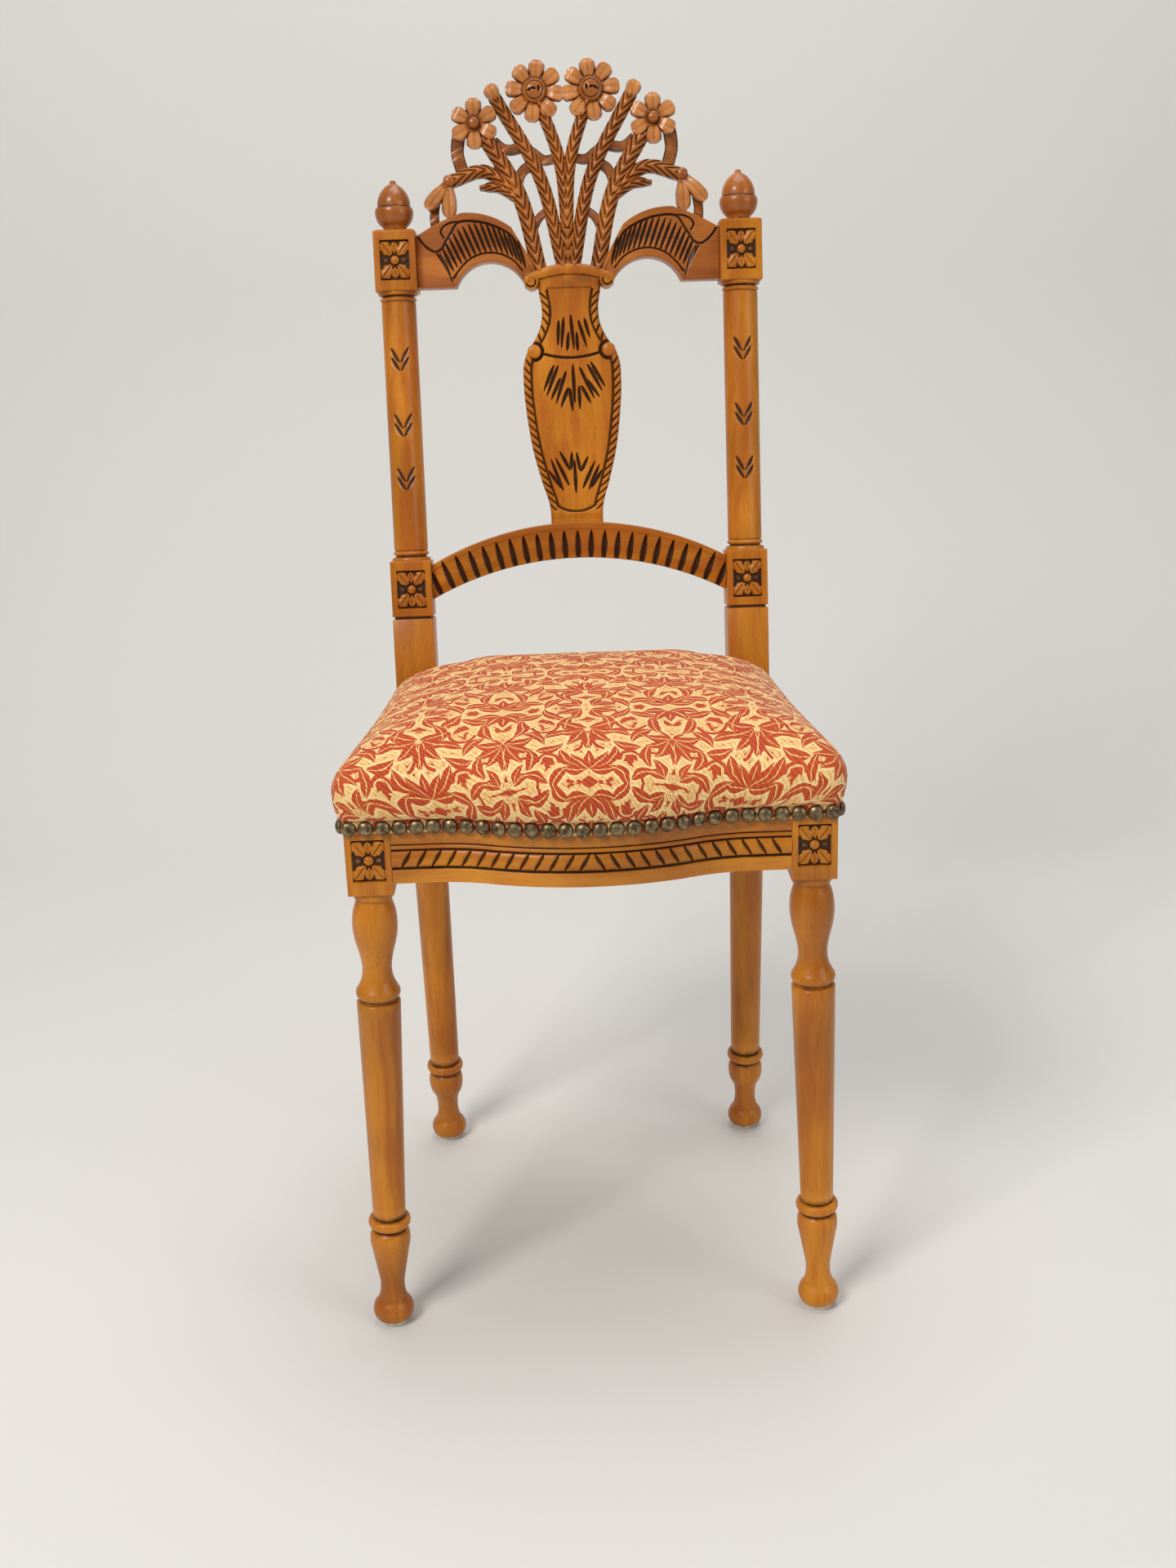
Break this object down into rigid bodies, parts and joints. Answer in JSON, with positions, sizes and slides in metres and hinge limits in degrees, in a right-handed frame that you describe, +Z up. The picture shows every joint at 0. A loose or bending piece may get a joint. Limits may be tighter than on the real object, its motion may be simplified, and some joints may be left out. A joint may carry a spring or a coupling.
{
  "type": "carved wooden chair",
  "caption": "Side chair with turned legs, a carved back of vase, wings and pierced flower bouquet, and a padded seat with a nailed hem.",
  "frame": {"origin": "middle of the overall box in plan, on the floor plane under the glides", "axes": "+X to the right as seen from in front of the chair, +Y to its back, +Z up"},
  "size_m": [0.3902, 0.3962, 1.0026],
  "materials": {
    "show_wood": "satin lacquer",
    "block_wood": "sawn",
    "seat_fabric": "woven",
    "stuffing": "loose fibre",
    "jute": "woven",
    "nail_brass": "aged",
    "screw_steel": "dull",
    "glide_plastic": "matte"
  },
  "bodies": {
    "root": {"arched_back_rail": "show_wood", "back_post_left": "show_wood", "back_post_right": "show_wood", "carved_bouquet": "show_wood", "corner_block_front_left": "block_wood", "corner_block_front_right": "block_wood", "corner_block_rear_left": "block_wood", "corner_block_rear_right": "block_wood", "corner_block_screws": "screw_steel", "crest_wing_left": "show_wood", "crest_wing_right": "show_wood", "finials": "show_wood", "foot_glides": "glide_plastic", "front_leg_left": "show_wood", "front_leg_right": "show_wood", "front_seat_rail": "show_wood", "rear_seat_rail": "show_wood", "seat_cover": "seat_fabric", "seat_hessian": "jute", "seat_stuffing": "stuffing", "seat_webbing": "jute", "side_seat_rail_left": "show_wood", "side_seat_rail_right": "show_wood", "upholstery_nails": "nail_brass", "vase_splat": "show_wood"}
  },
  "joints": []
}
